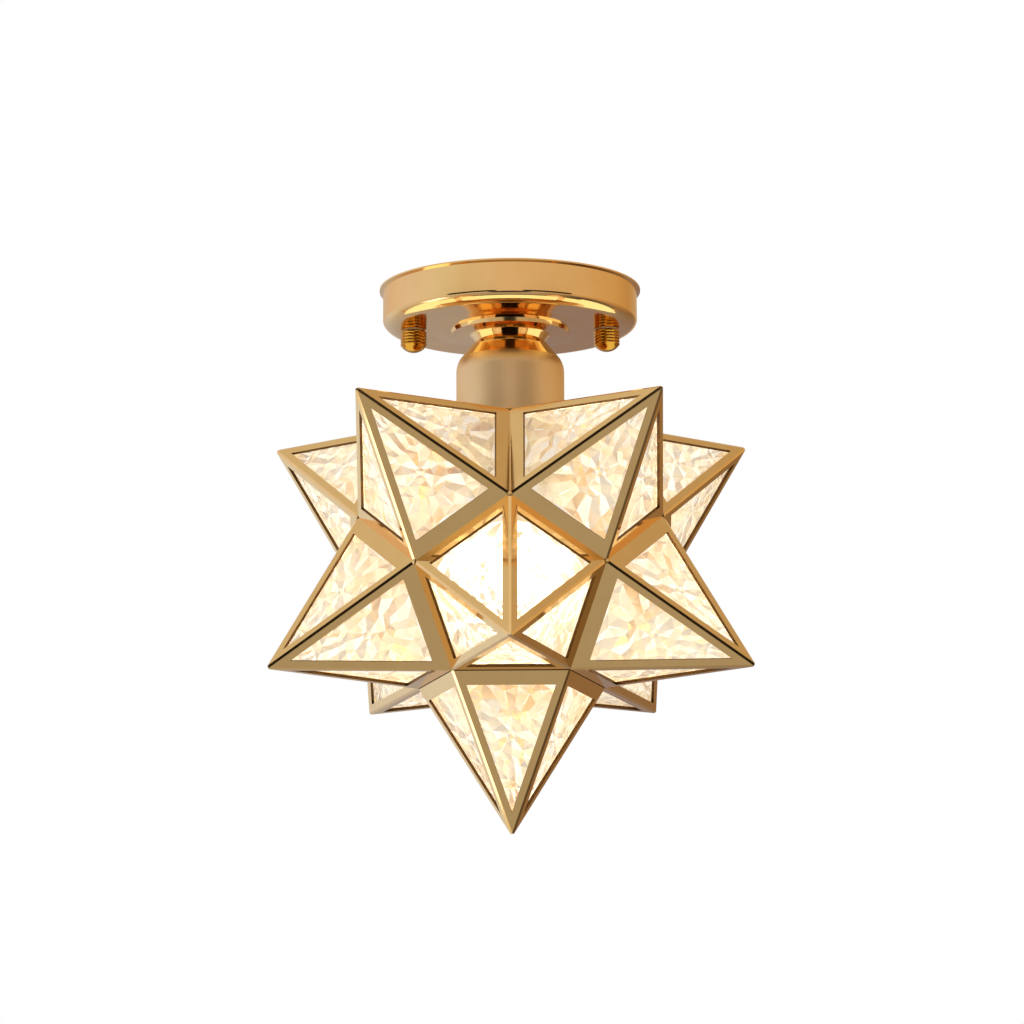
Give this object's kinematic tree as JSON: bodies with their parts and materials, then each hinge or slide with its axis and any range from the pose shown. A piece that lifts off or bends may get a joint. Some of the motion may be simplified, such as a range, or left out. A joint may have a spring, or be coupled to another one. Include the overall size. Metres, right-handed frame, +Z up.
{
  "type": "star ceiling light",
  "caption": "Flush-mount ceiling light: a gold-framed stellated star of pressed glass panes under a round canopy and cup neck, with a hinged bottom point for changing the lamp.",
  "frame": {"origin": "middle of the canopy's rim, on the ceiling", "axes": "+Z up into the ceiling, -Y the front of the light, +X the right of someone facing it"},
  "size_m": [0.218, 0.229, 0.2524],
  "materials": {
    "gold_plated_brass": "polished, gold plated",
    "pressed_glass": "clear, pressed relief",
    "zinc_plated_steel": "zinc plated",
    "bare_brass": "plain",
    "cream_phenolic": "moulded",
    "white_nylon": "moulded",
    "clear_nylon": "natural",
    "brown_insulation": "soft",
    "blue_insulation": "soft",
    "nickel_plate": "nickel plated",
    "black_plastic": "moulded",
    "white_plastic": "moulded",
    "bare_aluminium": "plain",
    "opal_plastic": "opal, lit"
  },
  "bodies": {
    "fixture": {"bracket_studs": "zinc_plated_steel", "canopy": "gold_plated_brass", "canopy_collar": "gold_plated_brass", "cup_collar": "gold_plated_brass", "earth_screw": "bare_brass", "hinge_fixed_leaf": "gold_plated_brass", "hinge_pin": "zinc_plated_steel", "lampholder_body": "cream_phenolic", "lampholder_cap": "cream_phenolic", "lampholder_centre_contact": "bare_brass", "lampholder_screw_shell": "bare_brass", "lampholder_terminals": "bare_brass", "live_lead": "brown_insulation", "lower_back_left_frame": "gold_plated_brass", "lower_back_left_glass": "pressed_glass", "lower_back_right_frame": "gold_plated_brass", "lower_back_right_glass": "pressed_glass", "lower_front_frame": "gold_plated_brass", "lower_front_glass": "pressed_glass", "lower_left_frame": "gold_plated_brass", "lower_left_glass": "pressed_glass", "lower_right_frame": "gold_plated_brass", "lower_right_glass": "pressed_glass", "mounting_bracket": "zinc_plated_steel", "neutral_lead": "blue_insulation", "nipple": "zinc_plated_steel", "nipple_lock_washer": "zinc_plated_steel", "nipple_nut": "zinc_plated_steel", "point_catch": "zinc_plated_steel", "shade_ring": "cream_phenolic", "socket_cup": "gold_plated_brass", "star_top_plate": "gold_plated_brass", "stud_lock_nuts": "zinc_plated_steel", "terminal_block": "white_nylon", "terminal_block_screws": "bare_brass", "upper_back_frame": "gold_plated_brass", "upper_back_glass": "pressed_glass", "upper_front_left_frame": "gold_plated_brass", "upper_front_left_glass": "pressed_glass", "upper_front_right_frame": "gold_plated_brass", "upper_front_right_glass": "pressed_glass", "upper_left_frame": "gold_plated_brass", "upper_left_glass": "pressed_glass", "upper_right_frame": "gold_plated_brass", "upper_right_glass": "pressed_glass"},
    "left_washer": {"left_nut_washer": "clear_nylon"},
    "left_nut": {"left_cap_nut": "gold_plated_brass"},
    "right_washer": {"right_nut_washer": "clear_nylon"},
    "right_nut": {"right_cap_nut": "gold_plated_brass"},
    "lamp_foot": {"bulb_contact": "nickel_plate"},
    "lamp": {"bulb_insulator": "black_plastic", "bulb_screw_cap": "nickel_plate", "bulb_housing": "white_plastic", "bulb_led_board": "bare_aluminium", "bulb_dome": "opal_plastic"},
    "relamping_point": {"bottom_frame": "gold_plated_brass", "bottom_glass": "pressed_glass", "hinge_moving_leaf": "gold_plated_brass"}
  },
  "joints": [
    {"name": "left_nut_travel", "type": "slide", "parent": "fixture", "child": "left_washer", "axis": [0, 0, -1], "range_m": [0, 0.00701]},
    {"name": "left_nut_turn", "type": "hinge", "parent": "left_washer", "child": "left_nut", "pos_m": [-0.04445, 0, -0.025], "axis": [0, 0, -1], "range_deg": [0, 3600]},
    {"name": "right_nut_travel", "type": "slide", "parent": "fixture", "child": "right_washer", "axis": [0, 0, -1], "range_m": [0, 0.00701]},
    {"name": "right_nut_turn", "type": "hinge", "parent": "right_washer", "child": "right_nut", "pos_m": [0.04445, 0, -0.025], "axis": [0, 0, -1], "range_deg": [0, 3600]},
    {"name": "lamp_travel", "type": "slide", "parent": "fixture", "child": "lamp_foot", "axis": [0, 0, -1], "range_m": [0, 0.01452]},
    {"name": "lamp_turn", "type": "hinge", "parent": "lamp_foot", "child": "lamp", "pos_m": [0, 0, -0.07], "axis": [0, 0, -1], "range_deg": [0, 1440]},
    {"name": "relamping_hinge", "type": "hinge", "parent": "fixture", "child": "relamping_point", "pos_m": [0.02223, 0.0306, -0.18596], "axis": [0.809, -0.5878, 0], "range_deg": [0, 95]}
  ],
  "couplings": [
    {"joint": "left_nut_travel", "follows": "left_nut_turn", "m_per_rad": 0.00011141},
    {"joint": "right_nut_travel", "follows": "right_nut_turn", "m_per_rad": 0.00011141},
    {"joint": "lamp_travel", "follows": "lamp_turn", "m_per_rad": 0.00057751}
  ]
}
